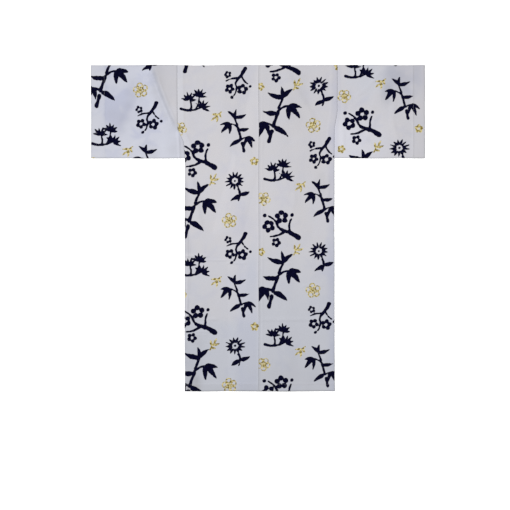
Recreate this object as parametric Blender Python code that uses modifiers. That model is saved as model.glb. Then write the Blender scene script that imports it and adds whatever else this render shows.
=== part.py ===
"""A cotton yukata laid out flat, face down, so that its back shows.

Metres. X runs across the garment, Y from the hem to the shoulders and Z up from the surface.
The wearer's left is at -X. The origin is on the surface, under the middle of the garment.
Each cut piece is one sheet of cloth, drawn as its outer side and thickened inwards.
"""

import math
from collections import namedtuple

import bmesh
import bpy

# The whole garment
SPAN = 1.334  # from one sleeve mouth to the other
LENGTH = 1.304  # from the shoulder fold to the hem
SLEEVE_DEPTH = 0.373  # from the shoulder fold to the bottom of the sleeve
COLLAR_START = 0.640  # height of the collar's ends above the hem
FRONT_WIDTH = 0.235  # front panel at the hem, from the side seam to the overlap's seam
OVERLAP_WIDTH = 0.150  # overlap panel at the hem
TIP_DROP = 0.165  # from the shoulder fold down to the overlap's pointed top
TIP_CUT = 0.013  # the point is turned under this far down, where it is 3 mm wide
NECK_HALF = 0.090  # from the centre seam to the neck's end on the shoulder
COLLAR_WIDTH = 0.055
HEM_WIDTH = 0.026
LEFT_MOUTH_HEM = 0.053
RIGHT_MOUTH_HEM = 0.044

# The cloth
WALL = 0.0010
COLLAR_WALL = 0.0016  # the collar is folded double
SEAM_GAP = 0.0003  # between pieces that are sewn to each other
LAYER_GAP = 0.0005  # between panels that lie on each other
HEM_RISE = 0.0006  # by which the cloth turned in at a hem lifts the panel over it
HEM_EASE = 0.008  # over which that rise comes down again
SETTLE = 0.080  # how far beside an edge the cloth above it comes down again

# Mesh spacing
ROW_STEP = 0.030
COLUMN_STEP = 0.024
PLAIN_SLEEVE_COLUMNS = 8
CREASED_SLEEVE_COLUMNS = 7
FOLD_STEPS = 4  # facets round a folded edge
COLLAR_COLUMNS = 2
NECK_STEPS = 6

# Lines worked out from the sizes above
TOP_Y = LENGTH / 2
HEM_Y = -LENGTH / 2
SLEEVE_FOOT_Y = TOP_Y - SLEEVE_DEPTH
COLLAR_START_Y = HEM_Y + COLLAR_START
TIP_Y = TOP_Y - TIP_DROP
MOUTH_X = SPAN / 2
CENTRE_X = 0.004  # the garment lies a little wider on its right
LOWEST_BACK = WALL + LAYER_GAP

Station = namedtuple("Station", "y x")
Crease = namedtuple("Crease", "height left right route")
FoldLine = namedtuple("FoldLine", "height half_width y")

# Outer edge of the body, from the hem up to the shoulder: side seam, then armhole seam
LEFT_SIDE = (
    Station(y=HEM_Y, x=-0.292),
    Station(y=0.290, x=-0.292),
    Station(y=0.345, x=-0.297),
    Station(y=0.396, x=-0.320),
    Station(y=TOP_Y, x=-0.322),
)
RIGHT_SIDE = (
    Station(y=HEM_Y, x=0.306),
    Station(y=0.400, x=0.306),
    Station(y=0.464, x=0.318),
    Station(y=TOP_Y, x=0.319),
)

# Largest creases of the upper layer: a crest line, its height and its width to each side
SLEEVE_CREASE = Crease(
    height=0.0046,
    left=0.036,
    right=0.018,
    route=(
        Station(y=0.376, x=-0.330),
        Station(y=0.410, x=-0.342),
        Station(y=0.472, x=-0.368),
        Station(y=0.526, x=-0.390),
        Station(y=0.590, x=-0.416),
        Station(y=TOP_Y, x=-0.437),
    ),
)
BODY_CREASES = (
    Crease(
        height=0.0016,
        left=0.034,
        right=0.024,
        route=(Station(y=0.424, x=0.228), Station(y=0.632, x=0.108)),
    ),
    Crease(
        height=0.0014,
        left=0.028,
        right=0.026,
        route=(Station(y=-0.010, x=-0.228), Station(y=0.272, x=-0.282)),
    ),
)
CREASE_END = 0.040  # stretch at each end over which a crease dies away

# Lines pressed straight across both back panels where the garment was folded up
FOLD_LINES = (
    FoldLine(height=0.0009, half_width=0.012, y=-0.118),
    FoldLine(height=0.0013, half_width=0.014, y=-0.369),
)

CLOTH_COLOR = (0.60, 0.60, 0.64, 1.0)
COLLAR_COLOR = (0.58, 0.58, 0.62, 1.0)
CLOTH_ROUGHNESS = 0.9


def smooth(share):
    share = min(max(share, 0.0), 1.0)
    return share * share * (3 - 2 * share)


def fade(distance, reach=SETTLE):
    """1 where the distance is 0, and down to 0 at the reach."""
    return 1 - smooth(distance / reach)


def line_x(stations, y):
    """X of a line through stations that run upwards in Y."""
    y = min(max(y, stations[0].y), stations[-1].y)
    for low, high in zip(stations, stations[1:]):
        if y <= high.y:
            break
    return low.x + (high.x - low.x) * (y - low.y) / (high.y - low.y)


def spaced(knots, step):
    """The knots with evenly spaced values between them, no further apart than the step."""
    values = [knots[0]]
    for start, end in zip(knots, knots[1:]):
        count = max(1, math.ceil(abs(end - start) / step - 1e-6))
        values += [start + (end - start) * i / count for i in range(1, count + 1)]
    return values


def spread(start, end, count):
    return [start + (end - start) * i / count for i in range(count + 1)]


# Cut lines of the two sides. The sign is -1 on the wearer's left and 1 on the right.
def side_line(sign):
    return LEFT_SIDE if sign < 0 else RIGHT_SIDE


def neck_x(sign):
    return CENTRE_X + sign * NECK_HALF


def overlap_edge_x(sign):
    """Free front edge of the overlap panel, past the centre."""
    return side_line(sign)[0].x - sign * (FRONT_WIDTH + OVERLAP_WIDTH)


def collar_seam(sign):
    return (
        Station(y=COLLAR_START_Y, x=overlap_edge_x(sign)),
        Station(y=TOP_Y, x=neck_x(sign)),
    )


def collar_slant(sign):
    """Width of the collar measured along X, where its seam slants."""
    low, high = collar_seam(sign)
    return COLLAR_WIDTH * math.hypot(high.x - low.x, high.y - low.y) / (high.y - low.y)


def front_line(sign):
    """Inner edge of the front panel: the overlap's seam, then the collar's."""
    tip_x = line_x(collar_seam(sign), TIP_Y)
    return (
        Station(y=HEM_Y, x=side_line(sign)[0].x - sign * FRONT_WIDTH),
        Station(y=TIP_Y, x=tip_x),
        Station(y=TOP_Y, x=neck_x(sign)),
    )


def beside_group(sign, x, y):
    """How far (x, y) lies past the free edge of this side's front and overlap."""
    return max(0.0, -sign * (x - line_x(collar_seam(sign), y)))


def outside_limb(sign, x, y):
    """How far (x, y) lies from the collar's limb along this side's front."""
    seam = line_x(collar_seam(sign), y)
    past_seam = sign * (x - seam)
    past_inner_edge = sign * (seam - x) - collar_slant(sign)
    below = COLLAR_START_Y - y
    return math.hypot(max(0.0, past_seam, past_inner_edge), max(0.0, below))


# Heights of the undersides. The left front lies lowest, as it is worn outermost.
def right_front_z(x, y):
    over_panel = fade(beside_group(-1, x, y)) * (WALL + LAYER_GAP)
    over_collar = fade(outside_limb(-1, x, y)) * (COLLAR_WALL + LAYER_GAP)
    return max(over_panel, over_collar)


def front_z(sign, x, y):
    return 0.0 if sign < 0 else right_front_z(x, y)


def back_neck_z(x, y):
    """Underside of the collar's stretch behind the neck, from the left limb to the right."""
    share = (x - neck_x(-1)) / (2 * NECK_HALF)
    return smooth(share) * right_front_z(x, y)


def stack_z(x, y):
    """Underside of the back panels, over the fronts and the collar."""
    low = right_front_z(x, y)
    beside_neck = max(0.0, abs(x - CENTRE_X) - NECK_HALF)
    below_neck = max(0.0, TOP_Y - COLLAR_WIDTH - y)
    outside_neck = math.hypot(beside_neck, below_neck)
    over_collar = COLLAR_WALL + LAYER_GAP
    return max(
        LOWEST_BACK,
        fade(beside_group(1, x, y)) * (low + WALL + LAYER_GAP),
        fade(outside_limb(1, x, y)) * (low + over_collar),
        fade(outside_limb(-1, x, y)) * over_collar,
        fade(outside_neck) * (back_neck_z(x, y) + over_collar),
    )


def fold_line_height(y):
    return sum(line.height * fade(abs(y - line.y), line.half_width) for line in FOLD_LINES)


def hem_rise(from_edge, width):
    """Rise over a turned-in hem at this distance from the free edge."""
    return HEM_RISE * fade(max(0.0, from_edge - width), HEM_EASE)


def crease_height(crease, x, y):
    past_crest = x - line_x(crease.route, y)
    reach = crease.right if past_crest > 0 else crease.left
    from_end = min(y - crease.route[0].y, crease.route[-1].y - y)
    return crease.height * fade(abs(past_crest), reach) * smooth(from_end / CREASE_END)


# Making a node
def material(name, color):
    finish = bpy.data.materials.new(name)
    finish.use_nodes = True
    shader = finish.node_tree.nodes["Principled BSDF"]
    shader.inputs["Base Color"].default_value = color
    shader.inputs["Roughness"].default_value = CLOTH_ROUGHNESS
    shader.inputs["Metallic"].default_value = 0.0
    finish.diffuse_color = color
    return finish


def cloth_node(name, rows, wall, finish, turned):
    """One sheet through rows of points, outer side out, thickened inwards.

    A row may be shorter than the one before it: its points then continue the first columns.
    Rows that climb in Y have their outer side up if their points run to +X, and otherwise
    the faces are turned.
    """
    sheet = bmesh.new()
    grid = [[sheet.verts.new(point) for point in row] for row in rows]
    for low, high in zip(grid, grid[1:]):
        for i in range(min(len(low), len(high)) - 1):
            corners = (low[i], low[i + 1], high[i + 1], high[i])
            sheet.faces.new(corners[::-1] if turned else corners)
    mesh = bpy.data.meshes.new(name)
    sheet.to_mesh(mesh)
    sheet.free()
    mesh.shade_smooth()
    mesh.set_sharp_from_angle(angle=math.radians(35))
    mesh.materials.append(finish)
    node = bpy.data.objects.new(name, mesh)
    bpy.context.scene.collection.children["yukata"].objects.link(node)
    shell = node.modifiers.new("wall", "SOLIDIFY")
    shell.thickness = wall
    shell.offset = -1
    shell.use_even_offset = True
    return node


def fold_rows(xs, tops):
    """The shoulder fold, from the last flat row of the back round to the front's first."""
    rows = []
    for step in range(FOLD_STEPS + 1):
        angle = math.pi * step / FOLD_STEPS
        rows.append(
            [
                (x, TOP_Y - top / 2 * (1 - math.sin(angle)), top / 2 * (1 + math.cos(angle)))
                for x, top in zip(xs, tops)
            ]
        )
    return rows


# The pieces
def body(sign, name, finish):
    """One length of cloth from the back hem over the shoulder to the front hem."""
    side = side_line(sign)
    inner = front_line(sign)
    centre = CENTRE_X + sign * SEAM_GAP / 2
    outer_columns = math.ceil(abs(side[-1].x - neck_x(sign)) / COLUMN_STEP)
    neck_columns = math.ceil(NECK_HALF / COLUMN_STEP)
    hem_top = HEM_Y + HEM_WIDTH
    knots = {HEM_Y, hem_top, hem_top + HEM_EASE, SLEEVE_FOOT_Y, TOP_Y - COLLAR_WIDTH}
    knots |= {station.y for station in side}
    for line in FOLD_LINES:
        knots |= {line.y + shift * line.half_width for shift in (-1, -0.5, 0, 0.5, 1)}
    heights = spaced(sorted(knots), ROW_STEP)[:-1]

    def back_xs(y):
        to_neck = spread(line_x(side, y), neck_x(sign), outer_columns)
        return to_neck + spread(neck_x(sign), centre, neck_columns)[1:]

    def back_top(x, y):
        creases = sum(crease_height(crease, x, y) for crease in BODY_CREASES)
        raised = fold_line_height(y) + hem_rise(y - HEM_Y, HEM_WIDTH) + creases
        return stack_z(x, y) + WALL + raised

    rows = [[(x, y, back_top(x, y)) for x in back_xs(y)] for y in heights]
    top_xs = back_xs(TOP_Y)
    tops = [back_top(x, TOP_Y) for x in top_xs]
    fold = fold_rows(top_xs, tops)
    neck_edge = [
        (x, TOP_Y - SEAM_GAP, top)
        for x, top in list(zip(top_xs, tops))[outer_columns + 1 :]
    ]
    rows.append(fold[0][: outer_columns + 1] + neck_edge)
    rows += [row[: outer_columns + 1] for row in fold[1:]]

    front_knots = sorted({HEM_Y, SLEEVE_FOOT_Y, TIP_Y, *(station.y for station in side)})
    for y in reversed(spaced(front_knots, ROW_STEP)[:-1]):
        xs = spread(line_x(side, y), line_x(inner, y), outer_columns)
        rows.append([(x, y, front_z(sign, x, y)) for x in xs])
    return cloth_node(name, rows, WALL, finish, turned=sign > 0)


def sleeve(sign, name, mouth_hem, crease, finish):
    """One width of cloth folded at the shoulder, with its mouth outwards."""
    side = side_line(sign)
    knots = {SLEEVE_FOOT_Y, TOP_Y}
    knots |= {station.y for station in side if station.y > SLEEVE_FOOT_Y}
    heights = spaced(sorted(knots), ROW_STEP)[:-1]
    mouth = sign * MOUTH_X
    hem_edge = mouth - sign * mouth_hem

    def plain_xs(y):
        """Columns from the armhole seam to the edge of the mouth's hem."""
        seam = line_x(side, y) + sign * SEAM_GAP
        return spread(seam, hem_edge - sign * HEM_EASE, PLAIN_SLEEVE_COLUMNS)

    def creased_xs(y):
        """The same with columns along the crease, pressed together where it meets the seam."""
        seam = line_x(side, y) + sign * SEAM_GAP
        crest = line_x(crease.route, y)
        right = crest + crease.right
        left = crest - crease.left
        least = crease.right / 5
        near = [seam, min((seam + right) / 2, seam - least)]
        for x in (right, (right + crest) / 2, crest, (crest + left) / 2, left):
            near.append(min(x, near[-1] - least))
        return near + spread(near[-1], hem_edge - sign * HEM_EASE, CREASED_SLEEVE_COLUMNS)[1:]

    def xs_at(y):
        return (creased_xs(y) if crease else plain_xs(y)) + spread(hem_edge, mouth, 1)

    def back_top(x, y):
        extra = crease_height(crease, x, y) if crease else 0.0
        return LOWEST_BACK + WALL + extra + hem_rise(abs(mouth - x), mouth_hem)

    rows = [[(x, y, back_top(x, y)) for x in xs_at(y)] for y in heights]
    top_xs = xs_at(TOP_Y)
    rows += fold_rows(top_xs, [back_top(x, TOP_Y) for x in top_xs])
    rows += [[(x, y, 0.0) for x in xs_at(y)] for y in reversed(heights)]
    return cloth_node(name, rows, WALL, finish, turned=sign < 0)


def overlap(sign, name, finish):
    """The narrow front panel between the front and the collar, pointed at its top."""
    seam = front_line(sign)
    edge = collar_seam(sign)
    columns = math.ceil(OVERLAP_WIDTH / COLUMN_STEP)
    rows = []
    for y in spaced([HEM_Y, COLLAR_START_Y, TIP_Y - TIP_CUT], ROW_STEP):
        start = line_x(seam, y) - sign * SEAM_GAP
        end = line_x(edge, y) + sign * (SEAM_GAP if y > COLLAR_START_Y else 0.0)
        xs = spread(start, end, columns)
        rows.append([(x, y, front_z(sign, x, y) + WALL) for x in xs])
    return cloth_node(name, rows, WALL, finish, turned=sign > 0)


def collar(name, finish):
    """One doubled band along both fronts, turned down inside behind the neck."""
    inner_y = TOP_Y - COLLAR_WIDTH
    limb_ys = spaced([COLLAR_START_Y, inner_y - COLLAR_WIDTH / 3], ROW_STEP)

    def limb_section(sign, y):
        """The band's seam end and inner end at this height, as (x, y) each."""
        seam = line_x(collar_seam(sign), y)
        return (seam - sign * SEAM_GAP, y), (seam - sign * collar_slant(sign), y)

    def neck_section(share):
        """The same behind the neck, from the left corner (0) to the right one (1)."""
        ends = [
            ((neck_x(sign) - sign * SEAM_GAP, TOP_Y - SEAM_GAP), limb_section(sign, inner_y)[1])
            for sign in (-1, 1)
        ]
        return [
            tuple(a + (b - a) * share for a, b in zip(left, right))
            for left, right in zip(*ends)
        ]

    def row(section, underside):
        (seam_x, seam_y), (inner_x, edge_y) = section
        xs = spread(seam_x, inner_x, COLLAR_COLUMNS)
        ys = spread(seam_y, edge_y, COLLAR_COLUMNS)
        return [(x, y, underside(x, y) + COLLAR_WALL) for x, y in zip(xs, ys)]

    rows = [row(limb_section(-1, y), lambda x, y: 0.0) for y in limb_ys]
    rows += [row(neck_section(share), back_neck_z) for share in spread(0, 1, NECK_STEPS)]
    rows += [row(limb_section(1, y), right_front_z) for y in reversed(limb_ys)]
    return cloth_node(name, rows, COLLAR_WALL, finish, turned=False)


def main():
    for thing in list(bpy.data.objects):
        bpy.data.objects.remove(thing)
    garment = bpy.data.collections.new("yukata")
    bpy.context.scene.collection.children.link(garment)
    cloth = material("cotton", CLOTH_COLOR)
    doubled = material("doubled_cotton", COLLAR_COLOR)
    body(-1, "body_left", cloth)
    body(1, "body_right", cloth)
    overlap(-1, "overlap_left", cloth)
    overlap(1, "overlap_right", cloth)
    sleeve(-1, "sleeve_left", LEFT_MOUTH_HEM, SLEEVE_CREASE, cloth)
    sleeve(1, "sleeve_right", RIGHT_MOUTH_HEM, None, cloth)
    collar("collar", doubled)


main()
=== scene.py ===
"""Looks of a cotton yukata that lies flat and face down on a pale floor.

Metres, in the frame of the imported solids: X across the garment, Y from the hem up to the
shoulders and Z up from the floor. Each cut piece is drawn again as a thin shell on its solid's
form, with the print, the creases, the seams and the sewing that the plain solids leave out.
"""

import math
from collections import defaultdict, namedtuple

import bpy
import numpy as np
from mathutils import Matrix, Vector


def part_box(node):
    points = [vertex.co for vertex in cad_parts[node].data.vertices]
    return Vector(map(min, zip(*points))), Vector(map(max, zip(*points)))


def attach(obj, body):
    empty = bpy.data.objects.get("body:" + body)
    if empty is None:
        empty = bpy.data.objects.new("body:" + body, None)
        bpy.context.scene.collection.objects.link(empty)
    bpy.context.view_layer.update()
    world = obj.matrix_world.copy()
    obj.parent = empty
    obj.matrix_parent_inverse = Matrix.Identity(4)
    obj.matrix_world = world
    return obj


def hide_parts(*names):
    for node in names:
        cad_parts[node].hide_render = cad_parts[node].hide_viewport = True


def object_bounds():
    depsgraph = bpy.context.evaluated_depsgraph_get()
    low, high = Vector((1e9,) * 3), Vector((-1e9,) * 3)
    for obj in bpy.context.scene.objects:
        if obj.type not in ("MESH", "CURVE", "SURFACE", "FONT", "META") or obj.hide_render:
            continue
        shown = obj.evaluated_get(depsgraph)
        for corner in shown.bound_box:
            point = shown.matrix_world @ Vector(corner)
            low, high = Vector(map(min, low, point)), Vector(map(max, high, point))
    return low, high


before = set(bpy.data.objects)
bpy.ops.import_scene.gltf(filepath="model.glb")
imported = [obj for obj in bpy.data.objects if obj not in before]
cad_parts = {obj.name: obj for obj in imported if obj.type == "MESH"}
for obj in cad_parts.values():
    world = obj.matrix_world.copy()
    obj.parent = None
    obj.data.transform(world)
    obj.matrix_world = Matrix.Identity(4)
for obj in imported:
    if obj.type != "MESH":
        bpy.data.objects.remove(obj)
SOLID_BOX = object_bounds()

Station = namedtuple("Station", "y x")
Stroke = namedtuple("Stroke", "start bend end width shape")
Placed = namedtuple("Placed", "motif u s size turn flip", defaults=[False])
Layer = namedtuple("Layer", "mark share colour")
Ink = namedtuple("Ink", "name colour worn cells detail low high")
MM = 0.001

# Lines read from the solids
TOP_Y = SOLID_BOX[1].y
HEM_Y = SOLID_BOX[0].y
MOUTH_X = SOLID_BOX[1].x
SLEEVE_FOOT_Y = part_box("sleeve_left")[0].y
COLLAR_START_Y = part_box("collar")[0].y

# Sizes of the cut, as in the solids. The sign is -1 on the wearer's left and 1 on the right.
LENGTH = TOP_Y - HEM_Y
SLEEVE_DEPTH = TOP_Y - SLEEVE_FOOT_Y
FRONT_WIDTH = 0.235
OVERLAP_WIDTH = 0.15
TIP_Y = TOP_Y - 0.165
TIP_CUT = 0.013
OVERLAP_HEM = 0.012  # turned in along the overlap's free edge
NECK_HALF = 0.09
COLLAR_WIDTH = 0.055
HEM_WIDTH = 0.026
MOUTH_HEM = {-1: 0.053, 1: 0.044}
CENTRE_X = 0.004
SIDE = {
    -1: (
        Station(HEM_Y, -0.292),
        Station(0.29, -0.292),
        Station(0.345, -0.297),
        Station(0.396, -0.32),
        Station(TOP_Y, -0.322),
    ),
    1: (
        Station(HEM_Y, 0.306),
        Station(0.4, 0.306),
        Station(0.464, 0.318),
        Station(TOP_Y, 0.319),
    ),
}

# Layers, as in the solids
LAYER_GAP = 0.0005
SEAM_GAP = 0.0003
WALL = 0.001
PANEL = WALL + LAYER_GAP
COLLAR = 0.0016 + LAYER_GAP
HEM_RISE = 0.0006
HEM_EASE = 0.008
SETTLE = 0.08

# The shells
SHELL = 0.0008
COLLAR_SHELL = 0.0014
COLUMN_STEP = 0.0038
ROW_STEP = 0.0038
FRONT_ROW_STEP = 0.0072
COLLAR_ROW_STEP = 0.6 * FRONT_ROW_STEP
FOLD_STEPS = 8
FOLD_Y = TOP_Y - 0.004  # last row below the shoulder fold
FOLD_HEIGHT_Y = TOP_Y - 0.002  # where the height of the fold is taken
EDGE_STEPS = (0.0, 0.0002, 0.0006, 0.0025)  # distances of the extra points beside an edge
EDGE_ROUND = 0.0006
EDGE_ROUNDING = 0.00035
EDGE_SETTLE = 0.0025  # over which a free edge comes down on the layer below it
EDGE_SINK = 0.0005
GROOVE = 0.0022  # half width of the dent along a line of stitches
GROOVE_DEPTH = 0.00016
SHARP_EDGE = math.radians(40)


# Plain curves
def smooth(share):
    share = np.clip(share, 0.0, 1.0)
    return share * share * (3 - 2 * share)


def fade(distance, reach=SETTLE):
    """1 where the distance is 0, and down to 0 at the reach."""
    return 1 - smooth(distance / reach)


def past(distance):
    """The distance, or 0 before it starts."""
    return np.maximum(0.0, distance)


def band(x, low, high, soft):
    """1 between low and high, with soft ends."""
    return smooth((x - low) / soft + 0.5) * smooth((high - x) / soft + 0.5)


def line_x(stations, y):
    """X of a line through stations that run upwards in Y."""
    return np.interp(y, [station.y for station in stations], [station.x for station in stations])


def ripple(x, y, seed, count, shortest, longest):
    """A seeded wave field, mostly from -1 to 1, whose longer waves are the higher ones."""
    random = np.random.default_rng(seed)
    total = np.zeros_like(x, dtype=float)
    weight = 0.0
    for _ in range(count):
        length = shortest * (longest / shortest) ** random.random()
        heading, phase = random.random(2) * 2 * math.pi
        along = x * math.cos(heading) + y * math.sin(heading)
        total += length / longest * np.sin(along * 2 * math.pi / length + phase)
        weight += (length / longest) ** 2
    return total / math.sqrt(weight)


def curve(points, steps=6):
    """A smooth line through the points, as an array of closer points."""
    ends = np.array([points[0], *points, points[-1]])
    t = np.arange(steps)[:, None] / steps
    line = []
    for a, b, c, d in zip(ends, ends[1:], ends[2:], ends[3:]):
        bend = (2 * a - 5 * b + 4 * c - d) * t**2 + (3 * b - a - 3 * c + d) * t**3
        line.append(b + ((c - a) * t + bend) / 2)
    return np.concatenate([*line, ends[-1:]])


# Cut lines
def side_x(sign, y):
    return line_x(SIDE[sign], y)


def neck_x(sign):
    return CENTRE_X + sign * NECK_HALF


def overlap_edge_x(sign):
    return SIDE[sign][0].x - sign * (FRONT_WIDTH + OVERLAP_WIDTH)


def collar_seam(sign):
    return Station(COLLAR_START_Y, overlap_edge_x(sign)), Station(TOP_Y, neck_x(sign))


def collar_x(sign, y):
    return line_x(collar_seam(sign), y)


def collar_slant(sign):
    """Width of the collar along X."""
    low, high = collar_seam(sign)
    return COLLAR_WIDTH * math.hypot(high.x - low.x, high.y - low.y) / (high.y - low.y)


def front_x(sign, y):
    """X of the front's inner edge, where the overlap is sewn on."""
    line = (
        Station(HEM_Y, SIDE[sign][0].x - sign * FRONT_WIDTH),
        Station(TIP_Y, float(collar_x(sign, TIP_Y))),
        Station(TOP_Y, neck_x(sign)),
    )
    return line_x(line, y)


# Heights of the layers, as in the solids
def beside_group(sign, x, y):
    return past(-sign * (x - collar_x(sign, y)))


def outside_limb(sign, x, y):
    past_seam = sign * (x - collar_x(sign, y))
    beside = past(np.maximum(past_seam, -past_seam - collar_slant(sign)))
    return np.hypot(beside, past(COLLAR_START_Y - y))


def front_z(sign, x, y):
    """Height below a front panel: the left one lies on the floor, the right one on the left."""
    if sign < 0:
        return np.zeros_like(x)
    over_panel = fade(beside_group(-1, x, y)) * PANEL
    return np.maximum(over_panel, fade(outside_limb(-1, x, y)) * COLLAR)


def back_neck_z(x, y):
    return smooth((x - neck_x(-1)) / (2 * NECK_HALF)) * front_z(1, x, y)


def stack_z(x, y):
    """Height below the back panels."""
    low = front_z(1, x, y)
    from_neck_band = np.hypot(past(np.abs(x - CENTRE_X) - NECK_HALF), past(TOP_Y - COLLAR_WIDTH - y))
    layers = (
        fade(beside_group(1, x, y)) * (low + PANEL),
        fade(outside_limb(1, x, y)) * (low + COLLAR),
        fade(outside_limb(-1, x, y)) * COLLAR,
        fade(from_neck_band) * (back_neck_z(x, y) + COLLAR),
    )
    return np.maximum(PANEL, np.maximum.reduce(layers))


# Creases of the upper side, in millimetres: rows of height, half widths to the left and the
# right of the route, and route. One that runs upwards is gentle on its lit left flank.
MAIN_ROUTE = ((-330, 376), (-342, 410), (-368.5, 472), (-391, 526), (-416.5, 590), (-439, 658))
SLEEVE_CREASES = (
    (5.6, 60, 20, MAIN_ROUTE),
    (1.1, 12, 11, ((-357, 452), (-386, 512), (-407, 566))),
    (1.4, 8, 5.5, ((-325, 420), (-359, 500), (-401, 610))),
    (1.8, 9, 5.5, ((-312.5, 268), (-314, 330), (-319, 392))),
    (0.6, 24, 20, ((-605, 300), (-565, 380), (-550, 470))),
    (0.5, 18, 16, ((-520, 300), (-470, 345), (-400, 360))),
    (0.5, 20, 14, ((-480, 440), (-470, 540), (-485, 640))),
    (0.7, 20, 12, ((345, 300), (342, 420), (350, 560))),
    (0.5, 22, 18, ((420, 330), (460, 420), (450, 500))),
    (0.6, 22, 16, ((580, 310), (540, 430), (565, 600))),
    (0.4, 14, 12, ((380, 520), (440, 560), (500, 640))),
)
BODY_CREASES = (
    (1.6, 34, 20, ((232, 416), (180, 510), (106, 640))),
    (1.4, 26, 22, ((-227, -20), (-248, 120), (-284, 280))),
    (1.3, 6, 4.5, ((-281, -400), (-280, -160), (-281.5, 20))),
    (0.6, 5, 4.5, ((-272.5, -300), (-273.5, -170), (-272, -40))),
    (1.6, 12, 5.5, ((-304, -113), (-260, -114), (-190, -113))),
    (1.1, 8, 4.5, ((-250, -128), (-170, -130), (-90, -127))),
    (1.1, 7, 4.5, ((-140, -117), (-90, -119), (-30, -117))),
    (1, 7, 4.5, ((-130, -140), (-90, -141), (-40, -140))),
    (0.5, 5, 4, ((18, -600), (18.5, 0), (18, 640))),
    (0.6, 14, 6, ((4, -124), (70, -128), (150, -126))),
    (0.4, 10, 5, ((30, -143), (90, -146), (140, -144))),
    (0.8, 18, 6, ((-10, -368), (150, -370), (302, -369))),
    (0.9, 14, 5, ((-292, -368), (-240, -369), (-150, -368))),
    (0.8, 8, 4.5, ((-286, -381), (-230, -382), (-176, -380))),
    (0.7, 8, 4.5, ((-280, -393), (-230, -392), (-190, -394))),
    (0.9, 9, 4.5, ((-288, -416), (-240, -417), (-170, -415))),
    (0.7, 7, 4.5, ((-284, -427), (-240, -428), (-196, -426))),
    (0.6, 8, 5, ((42, -426), (64, -414), (92, -398))),
    (0.5, 8, 5, ((56, -434), (78, -424), (104, -408))),
    (0.4, 12, 9, ((170, -236), (220, -226), (270, -232))),
    (0.4, 14, 11, ((260, 60), (282, 140), (280, 240))),
    (0.4, 16, 13, ((-120, 180), (-90, 260), (-100, 350))),
    (0.4, 18, 14, ((120, 20), (146, 110), (140, 200))),
    (0.5, 20, 15, ((-286, 440), (-250, 520), (-246, 620))),
    (0.4, 16, 12, ((290, -620), (270, -560), (272, -480))),
    (0.4, 14, 12, ((-260, -628), (-234, -570), (-230, -500))),
)
# Creases of the panels that lie below, pressed in with the same folds
FRONT_CREASES = (
    (0.25, 10, 5, ((-294, -118), (-160, -120), (90, -118))),
    (0.3, 12, 5, ((-294, -369), (-120, -371), (90, -369))),
    (0.25, 10, 5, ((74, -119), (190, -121), (308, -119))),
    (0.3, 12, 5, ((74, -370), (190, -368), (308, -370))),
    (0.2, 20, 14, ((-220, 20), (-240, 160), (-280, 280))),
    (0.2, 22, 16, ((230, 30), (250, 200), (240, 420))),
    (0.25, 20, 10, ((-340, 400), (-385, 520), (-420, 650))),
    (0.25, 20, 12, ((350, 300), (390, 450), (380, 640))),
)
CREASE_END = 0.16  # share of a crease's length over which each end dies away
CREASE_UNEVENNESS = 0.22


def crease_height(height, left, right, route, x, y):
    """Height of one crease at each point, dying away to both sides and both ends."""
    line = curve(route) * MM
    stretches = np.hypot(*np.diff(line, axis=0).T)
    total = stretches.sum()
    nearest = np.full(x.shape, np.inf)
    reach = np.zeros(x.shape)
    along = np.zeros(x.shape)
    walked = 0.0
    for start, end, stretch in zip(line, line[1:], stretches):
        run_x, run_y = (end - start) / stretch
        from_x = x - start[0]
        from_y = y - start[1]
        share = np.clip(from_x * run_x + from_y * run_y, 0, stretch)
        gap = np.hypot(from_x - share * run_x, from_y - share * run_y)
        is_left = run_x * from_y - run_y * from_x > 0
        closer = gap < nearest
        nearest = np.where(closer, gap, nearest)
        reach = np.where(closer, np.where(is_left, left, right) * MM, reach)
        along = np.where(closer, walked + share, along)
        walked += stretch
    from_end = np.minimum(along, total - along) / (CREASE_END * total)
    return height * MM * fade(nearest, reach) * smooth(from_end)


def creased(creases, x, y):
    """The creases together, a little uneven along their length."""
    uneven = 1 + CREASE_UNEVENNESS * ripple(x, y, 31, 6, 0.03, 0.14)
    return uneven * sum(crease_height(*row, x, y) for row in creases)


# The cloth's own small unevenness
BROAD_WAVE = 0.00022
FINE_WAVE = 0.00005
PRESSED_WAVE = 0.00003
PUCKER = 0.00012
PUCKER_REACH = 0.014
EDGE_MARK = 0.00012
COLLAR_MARK = 0.00016
DRIFT = 0.0007


def undulation(x, y):
    """Broad soft waves of cloth that was folded and laid out again."""
    broad = BROAD_WAVE * ripple(x, y, 5, 14, 0.07, 0.32)
    return broad + FINE_WAVE * ripple(x, y, 9, 18, 0.018, 0.06)


def pucker(distance, along, seed):
    """Small gathers beside a seam."""
    waves = ripple(along, np.zeros_like(along), seed, 8, 0.01, 0.032)
    return PUCKER * waves * fade(distance, PUCKER_REACH)


def layer_marks(x, y):
    """Where the edges of hidden panels show through as slight steps."""
    below = smooth((COLLAR_START_Y - y) / 0.02)
    marks = 0.0
    for sign in (-1, 1):
        past_edge = sign * (overlap_edge_x(sign) - x)
        marks += EDGE_MARK * below * smooth(0.5 - past_edge / 0.01)
        past_seam = sign * (collar_x(sign, y) - x)
        past_limb = past_seam - collar_slant(sign)
        inside = smooth(0.5 + past_seam / 0.008) * smooth(0.5 - past_limb / 0.008)
        marks += COLLAR_MARK * (1 - below) * inside
    return marks


def drifted(x, y):
    """The plan, with the slight drift of cloth laid by hand."""
    return [part + DRIFT * ripple(x, y, seed, 7, 0.1, 0.45) for part, seed in ((x, 41), (y, 43))]


def stitch_groove(distance):
    return GROOVE_DEPTH * fade(np.abs(distance), GROOVE)


def turned_down(distance, reach, depth):
    """How far a rounded edge has come down, at this distance from it."""
    share = np.clip(1 - distance / reach, 0, 1)
    return depth * (1 - np.sqrt(1 - share**2))


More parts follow.
